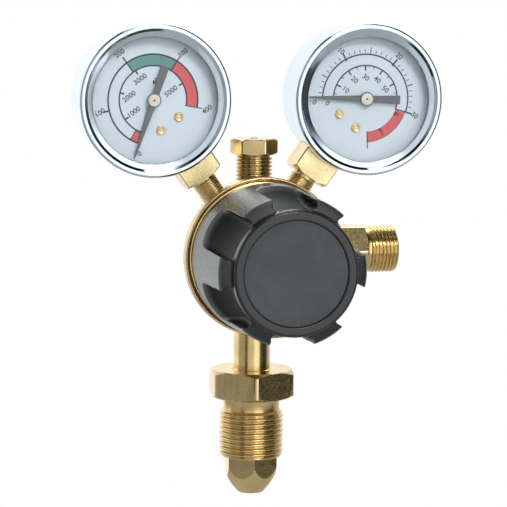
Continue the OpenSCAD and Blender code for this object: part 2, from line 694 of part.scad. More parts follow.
// tooth outline in polar form, for an external gear with n teeth, tooth centred on angle 0
function involute(r, base) = r <= base ? 0
    : let (a = acos(base / r)) tan(a) * 180 / PI - a;
function tooth_side(n, m, low, high, play, steps, sign) =
    let (pr = n * m / 2, base = pr * cos(20), half = 90 / n - play)
    [for (i = [0 : steps])
        let (r = pr - low * m + (low + high) * m * i / steps,
            a = half + involute(pr, base) - involute(max(r, base), base))
        [r, sign * a]];
function gear_points(n, m, low, high, play, first, count, start) = [
    for (t = [first : first + count - 1])
        let (c = start + 360 / n * t)
        for (p = concat(tooth_side(n, m, low, high, play, 3, -1),
                [for (i = [3 : -1 : 0]) tooth_side(n, m, low, high, play, 3, 1)[i]]))
            [p[0] * cos(c + p[1]), p[0] * sin(c + p[1])]];

module spindle(side) color(brass) dial_frame(side) {
    front(rear_plate_f + 0.1) cylinder(r = 0.4, h = dial_front + 2 - rear_plate_f);
    front(rear_plate_f + 1.1) linear_extrude(2.4)
        polygon(gear_points(pinion_teeth, gear_module, 1.2, 0.75, 0.5, 0, pinion_teeth,
            pivot_angle));
}

module sector(side) color(brass) dial_frame(side) translate([pivot_x, 0, pivot_z]) {
    first = -11;
    count = 13;
    start = 180 + pivot_angle + 180 / sector_teeth;
    difference() {
        union() {
            front(rear_plate_f + 1.8) linear_extrude(1) union() {
                polygon(concat([[0, 0]],
                    gear_points(sector_teeth, gear_module, 1.2, 0.75, 0.05, first, count, start)));
                circle(r = 2.2);
                rotate(-15) polygon([[0, -1.6], [5, -1.1], [5, 1.1], [0, 1.6]]);
                rotate(-15) translate([5, 0]) circle(r = 1.1, $fn = 24);
            }
            front(rear_plate_f + 0.1) cylinder(r = 0.8, h = front_plate_f - rear_plate_f + 0.7);
        }
        front(0) rotate(-15) translate([5, 0]) cylinder(r = 0.5, h = 8);
        front(0) rotate([0, 0, start + 360 / sector_teeth * (first + count / 2)])
            translate([sector_pitch_r - 6, 0]) cylinder(r = 1.7, h = 8);
    }
}

module link(side) color(steel) dial_frame(side) {
    tail = [pivot_x + 5 * cos(-15), pivot_z + 5 * sin(-15)];
    tip = [tube_mean_r * cos(tube_end) - 0.4 * sin(tube_end),
        tube_mean_r * sin(tube_end) + 0.4 * cos(tube_end)];
    run = norm(tip - tail);
    turn = atan2(tip[1] - tail[1], tip[0] - tail[0]);
    for (p = [tail, tip]) {
        translate([p[0], 0, p[1]]) front(rear_plate_f + 1.5) cylinder(r = 0.42, h = 2);
        translate([p[0], 0, p[1]]) front(rear_plate_f + 2.9) cylinder(r = 0.9, h = 0.6);
    }
    translate([tail[0], 0, tail[1]]) rotate([0, -turn, 0])
        translate([0, -rear_plate_f - 3.5, -0.6]) cube([run, 0.6, 1.2]);
}

// two plates with three pillars, standing on the socket's inner block
module movement(side) color(brass) dial_frame(side) difference() {
    union() {
        front(rear_plate_f) linear_extrude(0.8) polygon([[-6, block_in_z + 3],
            [6, block_in_z + 3], [9, -12], [pivot_x + 1.8, pivot_z - 2.6],
            [pivot_x + 2.2, pivot_z + 1], [pivot_x - 0.4, 6], [-8, 6], [-8, -14]]);
        front(front_plate_f) linear_extrude(plate_t) polygon([[-8, -14.5], [6, -14.5],
            [pivot_x + 1.8, pivot_z - 2.6], [pivot_x + 2.6, pivot_z + 1],
            [pivot_x - 0.4, 6], [-8, 6]]);
        for (p = [[-6.4, 4], [-6.4, -12.4], [pivot_x - 2.4, 4.4]])
            translate([p[0], 0, p[1]]) front(rear_plate_f + 0.5)
                cylinder(r = 1.2, h = front_plate_f - rear_plate_f);
    }
    front(0) cylinder(r = 0.4 + run_gap, h = 20);
    translate([pivot_x, 0, pivot_z]) front(0) cylinder(r = 0.8 + run_gap, h = 20);
    dial_screw_places() cylinder(r = 1, h = 20);
}

// flat spiral round the spindle
module hairspring(side) color(steel) dial_frame(side) front(front_plate_f - 1.2) {
    n = 72;
    turns = 3.5;
    outline = concat(
        [for (i = [0 : n]) let (a = 360 * turns * i / n, r = 0.5 + 4 * i / n)
            [r * cos(a), r * sin(a)]],
        [for (i = [n : -1 : 0]) let (a = 360 * turns * i / n, r = 0.8 + 4 * i / n)
            [r * cos(a), r * sin(a)]]);
    linear_extrude(0.6) polygon(outline);
}

module case_screws(side) color(steel) gauge(side) for (s = [-1, 1])
    translate([s * 3.6, 0, case_screw_z]) front(-case_back) difference() {
        union() {
            translate([0, 0, 0]) cylinder(r = 1.08, h = 5);
            translate([0, 0, -1.4]) cylinder(r1 = 1.8, r2 = 2.2, h = 1.4);
        }
        translate([-3, -0.3, -2]) cube([6, 0.6, 1.2]);
    }

module blowout_disc(side) color(rubber) gauge(side) translate([0, 0, 9]) front(-case_back) union() {
    translate([0, 0, -0.9]) cylinder(r1 = 5.6, r2 = 6.2, h = 0.9);
    cylinder(r = 4.97, h = 1.6);
}

// ---- nodes ----

body();
bonnet();
slip_ring();
diaphragm();
diaphragm_plate();
diaphragm_pad();
valve_seat();
valve_poppet();
valve_spring();
valve_cap();
valve_cap_o_ring();
inlet_nipple();
inlet_nut();
inlet_filter();
relief_body();
relief_poppet();
relief_seal();
relief_spring();
outlet_connector();
flow_restrictor();
knob();
knob_cap();
knob_screw();
adjusting_screw();
thrust_ball();
spring_button();
adjusting_spring();
socket(-1);  // contents_socket
case(-1);  // contents_case
bezel(-1);  // contents_bezel
window(-1);  // contents_window
dial(-1);  // contents_dial
dial_screws(-1);  // contents_dial_screws
pointer(-1);  // contents_pointer
spindle(-1);  // contents_spindle
sector(-1);  // contents_sector
link(-1);  // contents_link
bourdon_tube(-1);  // contents_bourdon_tube
movement(-1);  // contents_movement
hairspring(-1);  // contents_hairspring
case_screws(-1);  // contents_case_screws
blowout_disc(-1);  // contents_blowout_disc
socket(1);  // flow_socket
case(1);  // flow_case
bezel(1);  // flow_bezel
window(1);  // flow_window
dial(1);  // flow_dial
dial_screws(1);  // flow_dial_screws
pointer(1);  // flow_pointer
spindle(1);  // flow_spindle
sector(1);  // flow_sector
link(1);  // flow_link
bourdon_tube(1);  // flow_bourdon_tube
movement(1);  // flow_movement
hairspring(1);  // flow_hairspring
case_screws(1);  // flow_case_screws
blowout_disc(1);  // flow_blowout_disc
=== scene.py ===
"""Looks for the two-gauge gas regulator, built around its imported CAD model."""

import math

import bmesh
import bpy
from mathutils import Matrix, Vector


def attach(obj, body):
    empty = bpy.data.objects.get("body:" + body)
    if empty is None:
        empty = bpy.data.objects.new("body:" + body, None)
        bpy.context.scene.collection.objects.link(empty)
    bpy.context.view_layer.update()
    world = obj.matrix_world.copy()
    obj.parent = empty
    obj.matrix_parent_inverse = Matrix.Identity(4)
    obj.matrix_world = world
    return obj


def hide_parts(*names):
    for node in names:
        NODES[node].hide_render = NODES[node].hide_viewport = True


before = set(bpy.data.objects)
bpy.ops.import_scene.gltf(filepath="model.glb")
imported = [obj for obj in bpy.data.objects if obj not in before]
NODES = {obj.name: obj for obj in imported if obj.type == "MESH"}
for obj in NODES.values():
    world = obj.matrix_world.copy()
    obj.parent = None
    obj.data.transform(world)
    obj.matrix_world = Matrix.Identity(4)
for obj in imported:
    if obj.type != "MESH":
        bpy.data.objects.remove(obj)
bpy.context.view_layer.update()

# ---- sizes of the replaced pieces, in mm and degrees: the CAD's, within 0.02 mm ----

MM = 0.001
AXIS_H = 57.7  # body axis above the origin
PORT_FLOOR = 19.5  # bottom of the ports, from the body axis
PORT_PITCH = 1.337
PORT_THREAD_R = 6.56
PORT_DEPTH = 0.86

INLET_R, INLET_PITCH, INLET_DEPTH = 11.45, 1.814, 1.1
INLET_END = 73.9  # tip of the inlet thread, from the body axis
NUT_FLATS, NUT_HEIGHT, NUT_TURN = 28.6, 10.0, 6.8
NUT_NECK = 5.4  # plain neck between the hexagon and the first crest
NUT_BORE_R = 6.62

OUTLET_R = 8.33
OUTLET_CRESTS = 7
OUTLET_FLATS = 17.0
OUTLET_HEX_IN, OUTLET_HEX_END = 30.0, 40.8
OUTLET_BORE_R = 3.0

RELIEF_FLATS, RELIEF_HEX_H, RELIEF_TURN = 14.85, 5.7, 17.0
RELIEF_HEX_Z = 34.8
RELIEF_CAVITY_R, RELIEF_VENT_R = 4.3, 1.2

KNOB_BASE, KNOB_FRONT = 22.0, 62.0
KNOB_CAP_R = 18.1

GAUGE_ANGLE = 35.0
GAUGE_REACH = 67.0
GAUGE_THREAD_R = 4.86
BLOCK_SIDE, BLOCK_LOW = 14.0, 34.1
CASE_R, BEZEL_R, LIP_R = 25.7, 26.8, 22.1
DIAL_F = 8.0  # the dial's face, in front of the ports' plane
WINDOW_BACK, WINDOW_FRONT = 11.2, 12.75
POINTER_LEN, POINTER_TAIL = 21.2, 12.4
DIAL_SCREW_R, DIAL_SCREW_ANGLE = 10.9, 21.0
CONTENTS_TURN, FLOW_TURN = 1.0, -4.5
CONTENTS_REST, FLOW_REST = 215.4, 217.5


# ---- frames ----

def port(angle):
    """Local +Z points out of the port, which is clockwise from the top."""
    return Matrix.Translation((0, 0, AXIS_H)) @ Matrix.Rotation(math.radians(angle), 4, "Y")


def front(f=0.0):
    """Local +Z points forward, from the distance f in front of the ports."""
    return Matrix.Translation((0, -f, 0)) @ Matrix.Rotation(math.radians(90), 4, "X")


def gauge(side):
    return port(side * GAUGE_ANGLE) @ Matrix.Translation((0, 0, GAUGE_REACH))


def dial_frame(side):
    turn = CONTENTS_TURN if side < 0 else FLOW_TURN
    return gauge(side) @ Matrix.Rotation(math.radians(-turn), 4, "Y") @ front()


AXIS = Matrix.Translation((0, 0, AXIS_H)) @ front()


# ---- mesh tools, all in mm ----

COLUMNS = 192  # round a turned piece, so that a hexagon's corners fall on one
HEX_WEAR = 0.985  # worn corner radius over a sharp one


def finish_mesh(name, bm, matrix, body, mats, replaces=(), angle=28.0):
    """Turns a bmesh in mm into a piece on a body, in metres. Faces tagged soft stay smooth."""
    bmesh.ops.remove_doubles(bm, verts=bm.verts, dist=1e-5)
    bmesh.ops.recalc_face_normals(bm, faces=bm.faces)
    soft = bm.faces.layers.int.get("soft")
    for f in bm.faces:
        f.smooth = True
    for e in bm.edges:
        if len(e.link_faces) == 2:
            a, b = e.link_faces
            calm = soft is not None and a[soft] and b[soft]
            e.smooth = calm or e.calc_face_angle(0.0) < math.radians(angle)
    mesh = bpy.data.meshes.new(name)
    bm.to_mesh(mesh)
    bm.free()
    mesh.transform(Matrix.Scale(MM, 4) @ matrix)
    for m in mats if isinstance(mats, (list, tuple)) else [mats]:
        mesh.materials.append(m)
    obj = bpy.data.objects.new(name, mesh)
    bpy.context.scene.collection.objects.link(obj)
    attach(obj, body)
    if replaces:
        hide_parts(*replaces)


def add_rings(bm, rings, mat=0, caps=False):
    """Skins rings of equal length into bm, joined end to end or capped. A ring is a list of
    points, and a pair (points, True) says that the band before it stays smooth."""
    soft = bm.faces.layers.int.get("soft") or bm.faces.layers.int.new("soft")
    plain = [r if isinstance(r, tuple) else (r, False) for r in rings]
    made = [([bm.verts.new(p) for p in points], flag) for points, flag in plain]
    n = len(made[0][0])
    pairs = list(zip(made, made[1:]))
    if not caps:
        pairs.append((made[-1], made[0]))
    for (low, _), (high, flag) in pairs:
        for i in range(n):
            j = (i + 1) % n
            face = bm.faces.new((low[i], low[j], high[j], high[i]))
            face.material_index = mat
            face[soft] = int(flag)
    if caps:
        for end in (made[0][0], made[-1][0]):
            bm.faces.new(end).material_index = mat


def ring(fn, z, n=COLUMNS):
    """Ring at height z, with a fixed radius or fn(angle)."""
    out = []
    for i in range(n):
        a = 2 * math.pi * i / n
        r = fn(a) if callable(fn) else fn
        out.append((r * math.cos(a), r * math.sin(a), z))
    return out


def rounded(points, radii, steps=5):
    """Rounds the corners of a closed outline of (r, z) points, each by its own radius."""
    out = []
    n = len(points)
    for i, p in enumerate(points):
        if radii[i] <= 0:
            out.append(p)
            continue
        a, b, c = Vector(points[i - 1]), Vector(p), Vector(points[(i + 1) % n])
        u, v = (a - b).normalized(), (c - b).normalized()
        half = u.angle(v) / 2
        cut = min(radii[i] / math.tan(half), (a - b).length * 0.49, (c - b).length * 0.49)
        r = cut * math.tan(half)
        centre = b + (u + v).normalized() * (r / math.sin(half))
        s, e = b + u * cut - centre, b + v * cut - centre
        total = s.angle(e)
        for k in range(steps + 1):
            t = k / steps
            q = centre + (math.sin((1 - t) * total) * s + math.sin(t * total) * e) / math.sin(total)
            out.append((q.x, q.y))
    return out


def fill(outline, step=1.6):
    """Adds points along an outline's long runs, so that no face is long and thin."""
    out = []
    for p, q in zip(outline, outline[1:]):
        parts = max(1, int(math.dist(p, q) / step))
        out += [(p[0] + (q[0] - p[0]) * k / parts, p[1] + (q[1] - p[1]) * k / parts)
                for k in range(parts)]
    return out + [outline[-1]]


def add_lathe(bm, outline, n=COLUMNS, mat=0, shift=(0, 0, 0)):
    """Closed solid of revolution about local Z from an outline of (r, z)."""
    rings = []
    for r, z in fill(outline):
        points = ring(max(r, 1e-3), z, n)
        rings.append([(x + shift[0], y + shift[1], q + shift[2]) for x, y, q in points])
    add_rings(bm, rings, mat)


def prong(flats, turn, sides, keep):
    """Radius of a bar with flat sides and worn corners, a flat centred on the angle turn."""
    half = math.pi / sides
    corner = flats / 2 / math.cos(half) * keep

    def at(a):
        d = (a - turn + half) % (2 * half) - half
        return min(flats / 2 / math.cos(d), corner)

    return at


def hex_rings(flats, z, h, turn=0.0):
    """Rings of a hexagon bar whose ends are cut by a cone."""
    shape = prong(flats, turn, 6, HEX_WEAR)
    corner = flats / 2 / math.cos(math.pi / 6) * HEX_WEAR
    rim = flats / 2 - 0.25
    fall = (corner - rim) * 0.55
    steps = 8
    cone = [(fall * k / steps, rim + (corner - rim) * k / steps) for k in range(steps + 1)]
    levels = [(z + up, r) for up, r in cone] + [(z + h - up, r) for up, r in reversed(cone)]
    return [ring(lambda a, r=r: min(shape(a), r), q) for q, r in levels]


def thread_rings(r, depth, pitch, z0, z1, per=12, fade=(0.7, 0.0), nose=0.0):
    """Rings of a right-handed helical thread, run out at its ends, with a cone at z1."""
    crest, root = 0.22, 0.14  # flats, as shares of half the pitch
    rings = []
    count = int(round((z1 - z0) / pitch * per))
    for k in range(count + 1):
        z = z0 + (z1 - z0) * k / count

        def at(a, z=z):
            ph = (z / pitch - a / (2 * math.pi)) % 1.0
            tri = abs(ph - 0.5) * 2
            h = min(1.0, max(0.0, (tri - root) / (1 - root - crest)))
            h = 0.35 * h + 0.65 * h * h * (3 - 2 * h)
            run = 1.0
            if fade[0]:
                run = min(run, (z - z0) / (pitch * fade[0]))
            if fade[1]:
                run = min(run, (z1 - z) / (pitch * fade[1]))
            out = r - depth + depth * h * max(0.0, run)
            if nose:
                out = min(out, r - depth * nose + (z1 - z) * 0.9)
            return out

        rings.append((ring(at, z), True))
    return rings


# ---- materials ----

class Nodes:
    """Short way to build a node material."""

    def __init__(self, name):
        self.mat = bpy.data.materials.new(name)
        self.mat.use_nodes = True
        self.tree = self.mat.node_tree
        self.bsdf = self.tree.nodes["Principled BSDF"]
        self.out = self.tree.nodes["Material Output"]

    def add(self, kind, **props):
        node = self.tree.nodes.new(kind)
        for k, v in props.items():
            setattr(node, k, v)
        return node

    def link(self, a, b):
        self.tree.links.new(a, b)

    def coords(self, matrix=None):
        """Object coordinates in mm, optionally turned into a piece's own frame."""
        tex = self.add("ShaderNodeTexCoord")
        mapping = self.add("ShaderNodeMapping")
        self.link(tex.outputs["Object"], mapping.inputs["Vector"])
        mapping.inputs["Scale"].default_value = (1 / MM,) * 3
        if matrix is not None:
            loc, rot, _ = matrix.inverted().decompose()
            mapping.inputs["Rotation"].default_value = rot.to_euler()
            mapping.inputs["Location"].default_value = loc
        return mapping.outputs[0]

    def stretch(self, vec, scale):
        m = self.add("ShaderNodeMapping")
        m.inputs["Scale"].default_value = scale
        self.link(vec, m.inputs["Vector"])
        return m.outputs[0]

    def noise(self, vec, scale, detail=4.0, rough=0.55, dist=0.0):
        n = self.add("ShaderNodeTexNoise")
        n.inputs["Scale"].default_value = scale
        n.inputs["Detail"].default_value = detail
        n.inputs["Roughness"].default_value = rough
        n.inputs["Distortion"].default_value = dist
        self.link(vec, n.inputs["Vector"])
        return n.outputs["Fac"]

    def ramp(self, fac, stops):
        r = self.add("ShaderNodeValToRGB")
        els = r.color_ramp.elements
        while len(els) < len(stops):
            els.new(0.5)
        for e, (p, c) in zip(els, stops):
            e.position = p
            e.color = (*c, 1) if len(c) == 3 else c
        self.link(fac, r.inputs[0])
        return r.outputs[0]

    def mix(self, fac, a, b, mode="MIX"):
        m = self.add("ShaderNodeMix", data_type="RGBA", blend_type=mode)
        for sock, v in ((m.inputs[0], fac), (m.inputs[6], a), (m.inputs[7], b)):
            if hasattr(v, "links"):
                self.link(v, sock)
            elif sock is m.inputs[0]:
                sock.default_value = v
            else:
                sock.default_value = (*v, 1)
        return m.outputs[2]

    def span(self, fac, low, high, from_low=0.0, from_high=1.0):
        m = self.add("ShaderNodeMapRange")
        m.inputs["From Min"].default_value = from_low
        m.inputs["From Max"].default_value = from_high
        m.inputs["To Min"].default_value = low
        m.inputs["To Max"].default_value = high
        self.link(fac, m.inputs["Value"])
        return m.outputs[0]

    def math(self, op, a, b=None):
        m = self.add("ShaderNodeMath", operation=op)
        for i, v in enumerate((a, b)):
            if v is None:
                continue
            if hasattr(v, "links"):
                self.link(v, m.inputs[i])
            else:
                m.inputs[i].default_value = v
        return m.outputs[0]

    def bump(self, height, strength, distance):
        """Normal from a height, with its depth in metres."""
        b = self.add("ShaderNodeBump")
        b.inputs["Strength"].default_value = strength
        b.inputs["Distance"].default_value = distance
        self.link(height, b.inputs["Height"])
        return b.outputs[0]

    def edge(self, low, high):
        """1 on worn convex edges."""
        g = self.add("ShaderNodeNewGeometry")
        return self.span(g.outputs["Pointiness"], 0.0, 1.0, low, high)

    def set(self, **inputs):
        names = {"color": "Base Color", "metal": "Metallic", "rough": "Roughness", "ior": "IOR",
                 "normal": "Normal", "spec": "Specular IOR Level", "trans": "Transmission Weight"}
        for k, v in inputs.items():
            sock = self.bsdf.inputs[names[k]]
            if hasattr(v, "links"):
                self.link(v, sock)
            elif k == "color":
                sock.default_value = (*v, 1)
            else:
                sock.default_value = v
        return self.mat


def brass(name, base, rough=0.26, grain=0.4, rings=0.0, matrix=None, tone=0.12, streaks=0.0):
    """Brass with cast grain, turning marks about a frame's Z, or streaks along it."""
    s = Nodes(name)
    vec = s.coords(matrix=matrix)
    broad = s.noise(vec, 0.11, 3.0)
    fine = s.noise(vec, 1.6, 6.0, 0.65)
    dark = tuple(c * (1 - tone * 1.6) for c in base)
    light = tuple(min(1.0, c * (1 + tone)) for c in base)
    colour = s.mix(s.span(broad, 0.0, 1.0, 0.32, 0.68), dark, light)
    stain = s.ramp(s.noise(vec, 0.33, 8.0, 0.7, 0.6), [(0.56, (0, 0, 0)), (0.70, (1, 1, 1))])
    dirt = (base[0] * 0.62, base[1] * 0.55, base[2] * 0.46)
    colour = s.mix(s.math("MULTIPLY", stain, 0.35), colour, dirt)
    if streaks:
        drawn = s.noise(s.stretch(vec, (2.6, 2.6, 0.05)), 1.0, 4.0, 0.7)
        shade = tuple(c * 0.35 for c in base)
        colour = s.mix(s.span(drawn, 0.0, streaks, 0.42, 0.66), colour, shade)
    colour = s.mix(s.math("MULTIPLY", s.edge(0.53, 0.66), 0.5), colour, (0.93, 0.84, 0.62))
    r = s.span(fine, rough - 0.07, rough + 0.10, 0.3, 0.7)
    r = s.math("ADD", r, s.math("MULTIPLY", stain, 0.10))
    height = s.math("MULTIPLY", fine, grain)
    if rings:
        lines = s.noise(s.stretch(vec, (0.02, 0.02, 9.0)), 1.0, 3.0, 0.7)
        height = s.math("ADD", height, s.math("MULTIPLY", lines, rings))
    if streaks:
        height = s.math("ADD", height, s.math("MULTIPLY", drawn, streaks))
    pits = s.ramp(s.noise(vec, 2.4, 2.0), [(0.24, (0, 0, 0)), (0.33, (1, 1, 1))])
    height = s.math("ADD", height, s.math("MULTIPLY", pits, grain * 0.4))
    return s.set(color=colour, metal=1.0, rough=r, normal=s.bump(height, 0.35, 0.00008))


BRASS = (0.70, 0.53, 0.25)
m_body = brass("brass_cast", (0.64, 0.50, 0.27), 0.28, 0.8)
m_turn_y = brass("brass_turned_axis", BRASS, 0.2, 0.35, 0.6, AXIS)
m_inlet = brass("brass_turned_inlet", BRASS, 0.16, 0.3, 0.5)
m_hex = brass("brass_drawn_hexagon", BRASS, 0.2, 0.3, 0.0, tone=0.1, streaks=0.4)
m_outlet = brass("brass_turned_outlet", BRASS, 0.17, 0.3, 0.5, port(90))
m_contents_socket = brass("brass_turned_contents", (0.74, 0.60, 0.33), 0.24, 1.3, 0.3, gauge(-1))
m_flow_socket = brass("brass_turned_flow", (0.74, 0.60, 0.33), 0.24, 1.3, 0.3, gauge(1))
m_relief = brass("brass_turned_relief", (0.60, 0.45, 0.22), 0.14, 0.3, 0.4)
m_small_brass = brass("brass_small", (0.66, 0.47, 0.22), 0.22, 0.3)
m_rivet = brass("brass_rivet", (0.80, 0.60, 0.30), 0.25, 0.2)


def chrome_material():
    s = Nodes("chrome_plate")
    vec = s.coords()
    smear = s.noise(vec, 0.09, 5.0, 0.6, 1.2)
    fine = s.noise(vec, 3.0, 3.0)
    colour = s.mix(smear, (0.46, 0.56, 0.63), (0.64, 0.72, 0.78))
    return s.set(color=colour, metal=1.0, rough=s.span(smear, 0.05, 0.12, 0.3, 0.7),
                 normal=s.bump(fine, 0.04, 0.00005))


m_chrome = chrome_material()


def steel_material():
    s = Nodes("steel_plain")
    vec = s.coords()
    a = s.noise(vec, 0.4, 5.0)
    colour = s.mix(a, (0.416, 0.424, 0.44), (0.52, 0.53, 0.55))
    return s.set(color=colour, metal=1.0, rough=s.span(a, 0.24, 0.4, 0.3, 0.7),
                 normal=s.bump(s.noise(vec, 4.0, 3.0), 0.1, 0.00005))


m_steel = steel_material()


def plastic(name, base, rough, grain, spec=0.5, worn=0.35):
    """Nodes of a moulded plastic or rubber, paler on its worn edges."""
    s = Nodes(name)
    vec = s.coords()
    flow = s.noise(vec, 0.07, 4.0, 0.6, 0.8)
    tiny = s.noise(vec, 5.0, 3.0, 0.7)
    spots = s.noise(vec, 1.1, 5.0, 0.7)
    dark = tuple(c * 0.88 for c in base)
    light = tuple(c * 1.15 for c in base)
    colour = s.mix(s.span(flow, 0, 1, 0.35, 0.65), dark, light)
    if worn:
        pale = tuple(c * 2.2 + 0.02 for c in base)
        colour = s.mix(s.math("MULTIPLY", s.edge(0.54, 0.64), worn), colour, pale)
    r = s.span(spots, rough - 0.05, rough + 0.07, 0.3, 0.7)
    s.set(color=colour, rough=r, spec=spec, normal=s.bump(tiny, grain, 0.00006))
    return s


def knob_material():
    """Moulded plastic, with painted light on the lobes and painted shade in the scoops, where it is
    also rougher and less glossy.
    """
    s = plastic("knob_moulded", (0.013, 0.0145, 0.016), 0.25, 0.18)
    base = s.bsdf.inputs["Base Color"].links[0].from_socket
    rough = s.bsdf.inputs["Roughness"].links[0].from_socket
    place = s.add("ShaderNodeSeparateXYZ")
    s.link(s.coords(AXIS), place.inputs[0])
    x, y, f = place.outputs
    r = s.math("SQRT", s.math("ADD", s.math("MULTIPLY", x, x), s.math("MULTIPLY", y, y)))
    skirt_len = 34.4  # over which the skirt narrows by 1 mm
    fall = s.math("MULTIPLY", s.math("SUBTRACT", f, KNOB_BASE), 1 / skirt_len)
    skirt = s.math("ADD", r, fall)
    flank = s.span(f, 1.0, 0.0, KNOB_FRONT - 4.4, KNOB_FRONT - 3.8)
    # masks for painted light on the lobes and painted shade in the scoops, behind the front ring
    lobe_painted_light = s.math("MULTIPLY", s.span(skirt, 0.0, 1.0, 25.8, 26.6), flank)
    scoop_painted_shade = s.math("MULTIPLY", s.span(skirt, 1.0, 0.0, 25.2, 26.3), flank)
    # painted light makes the lobes paler, then painted shade makes the scoops near black
    colour = s.mix(lobe_painted_light, base, (0.072, 0.080, 0.082))
    colour = s.mix(s.math("MULTIPLY", scoop_painted_shade, 0.85), colour, (0.0025, 0.003, 0.004))
    return s.set(color=colour, spec=s.span(scoop_painted_shade, 0.5, 0.12),
                 rough=s.math("ADD", rough, s.math("MULTIPLY", scoop_painted_shade, 0.2)))


m_knob = knob_material()
m_cap = plastic("knob_disc", (0.070, 0.080, 0.086), 0.6, 0.12, 0.3, worn=0.0).mat
m_rubber = plastic("rubber_matt", (0.02, 0.02, 0.021), 0.75, 0.4, 0.3).mat


def bronze_filter():
    s = Nodes("sintered_bronze")
    vec = s.coords()
    v = s.add("ShaderNodeTexVoronoi", feature="F1")
    v.inputs["Scale"].default_value = 3.0
    s.link(vec, v.inputs["Vector"])
    colour = s.ramp(v.outputs["Distance"], [(0.0, (0.52, 0.36, 0.2)), (0.7, (0.1, 0.06, 0.03))])
    return s.set(color=colour, metal=0.9, rough=0.5,
                 normal=s.bump(v.outputs["Distance"], 0.8, -0.0001))


m_filter = bronze_filter()


def window_material():
    """Clear plastic that lets the lamps' light through to the dial."""
    s = Nodes("window_clear")
    vec = s.coords()
    smear = s.noise(vec, 0.06, 4.0, 0.6, 1.0)
    s.set(color=(0.97, 0.985, 1.0), rough=s.span(smear, 0.0, 0.03, 0.4, 0.8), ior=1.3, trans=1.0)
    path = s.add("ShaderNodeLightPath")
    clear = s.add("ShaderNodeBsdfTransparent")
    mix = s.add("ShaderNodeMixShader")
    s.link(path.outputs["Is Shadow Ray"], mix.inputs[0])
    s.link(s.bsdf.outputs[0], mix.inputs[1])
    s.link(clear.outputs[0], mix.inputs[2])
    s.link(mix.outputs[0], s.out.inputs["Surface"])
    return s.mat


m_window = window_material()


def paint(name, colour, rough, vary):
    """Even paint or print, with a slight cloud and grain."""
    s = Nodes(name)
    vec = s.coords()
    a = s.noise(vec, 0.15, 4.0)
    dark = tuple(c * (1 - vary) for c in colour)
    light = tuple(c * (1 + vary) for c in colour)
    return s.set(color=s.mix(a, dark, light), rough=s.span(a, rough - 0.04, rough + 0.06),
                 normal=s.bump(s.noise(vec, 3.0), 0.05, 0.00004))


m_dial = paint("dial_enamel", (0.60, 0.68, 0.74), 0.45, 0.03)
m_ink = paint("dial_ink_dark", (0.004, 0.014, 0.018), 0.7, 0.1)
m_green = paint("dial_ink_green", (0.075, 0.26, 0.23), 0.5, 0.05)
m_red = paint("dial_ink_red", (0.62, 0.06, 0.07), 0.5, 0.05)
m_pointer = paint("pointer_paint", (0.065, 0.085, 0.092), 0.4, 0.1)
m_hub = paint("pointer_hub_paint", (0.66, 0.60, 0.50), 0.4, 0.06)

# ---- CAD nodes that keep their shape ----

CAD_LOOKS = {
    "body": m_body, "bonnet": m_turn_y, "slip_ring": m_steel, "diaphragm": m_rubber,
    "diaphragm_plate": m_steel, "diaphragm_pad": m_steel, "valve_seat": m_turn_y,
    "valve_poppet": m_steel, "valve_spring": m_steel, "valve_cap": m_turn_y,
    "valve_cap_o_ring": m_rubber, "inlet_nipple": m_inlet, "inlet_filter": m_filter,
    "relief_poppet": m_small_brass, "relief_seal": m_rubber, "relief_spring": m_steel,
    "flow_restrictor": m_outlet, "knob": m_knob, "knob_screw": m_steel,
    "adjusting_screw": m_steel, "thrust_ball": m_chrome, "spring_button": m_steel,
    "adjusting_spring": m_steel,
}
for prefix in ("contents_", "flow_"):
    CAD_LOOKS.update({
        prefix + "case": m_chrome, prefix + "dial": m_dial, prefix + "spindle": m_small_brass,
        prefix + "sector": m_small_brass, prefix + "link": m_steel,
        prefix + "bourdon_tube": m_small_brass, prefix + "movement": m_small_brass,
        prefix + "hairspring": m_steel, prefix + "case_screws": m_steel,
        prefix + "blowout_disc": m_rubber,
    })
for name, look in CAD_LOOKS.items():
    NODES[name].data.materials.clear()
    NODES[name].data.materials.append(look)


def round_edges(name, voxel, passes, keep):
    """Rounds a CAD node's edges as moulding or casting does."""
    obj = NODES[name]
    m = obj.modifiers.new("remesh", "REMESH")
    m.mode = "VOXEL"
    m.voxel_size = voxel * MM
    m.use_smooth_shade = True
    m = obj.modifiers.new("smooth", "SMOOTH")
    m.factor = 0.5
    m.iterations = passes
    m = obj.modifiers.new("thin", "DECIMATE")
    m.ratio = keep


round_edges("knob", voxel=0.28, passes=4, keep=0.3)
round_edges("body", voxel=0.38, passes=2, keep=0.45)

# ---- inlet nut ----

def make_inlet_nut():
    bm = bmesh.new()
    hex_end = AXIS_H - NUT_NECK
    hex_z = hex_end - NUT_HEIGHT
    neck = INLET_R - 1.35
    rings = [ring(NUT_BORE_R, hex_z + 0.6), ring(NUT_BORE_R + 0.5, hex_z + 0.1)]
    rings += hex_rings(NUT_FLATS, hex_z, NUT_HEIGHT, math.radians(NUT_TURN))
    for r, up in ((neck + 0.8, 0.02), (neck + 0.2, 0.35), (neck, 1.0)):
        rings.append(ring(r, hex_end + up))
    rings.append(ring(neck, AXIS_H - 0.8))
    rings += thread_rings(INLET_R, INLET_DEPTH, INLET_PITCH, AXIS_H - 0.7, INLET_END,
                          fade=(0.5, 0), nose=0.75)
    rings += [ring(NUT_BORE_R + 0.6, INLET_END), ring(NUT_BORE_R, INLET_END - 0.6)]
    add_rings(bm, rings)
    for f in bm.faces:
        middle = f.calc_center_median()
        if hex_z + 0.1 < middle.z < hex_end - 0.1 and middle.xy.length > 9:
            f.material_index = 1
    finish_mesh("nut_inlet", bm, port(180), "inlet_nut", [m_inlet, m_hex], ["inlet_nut"])


make_inlet_nut()

# ---- outlet connector ----

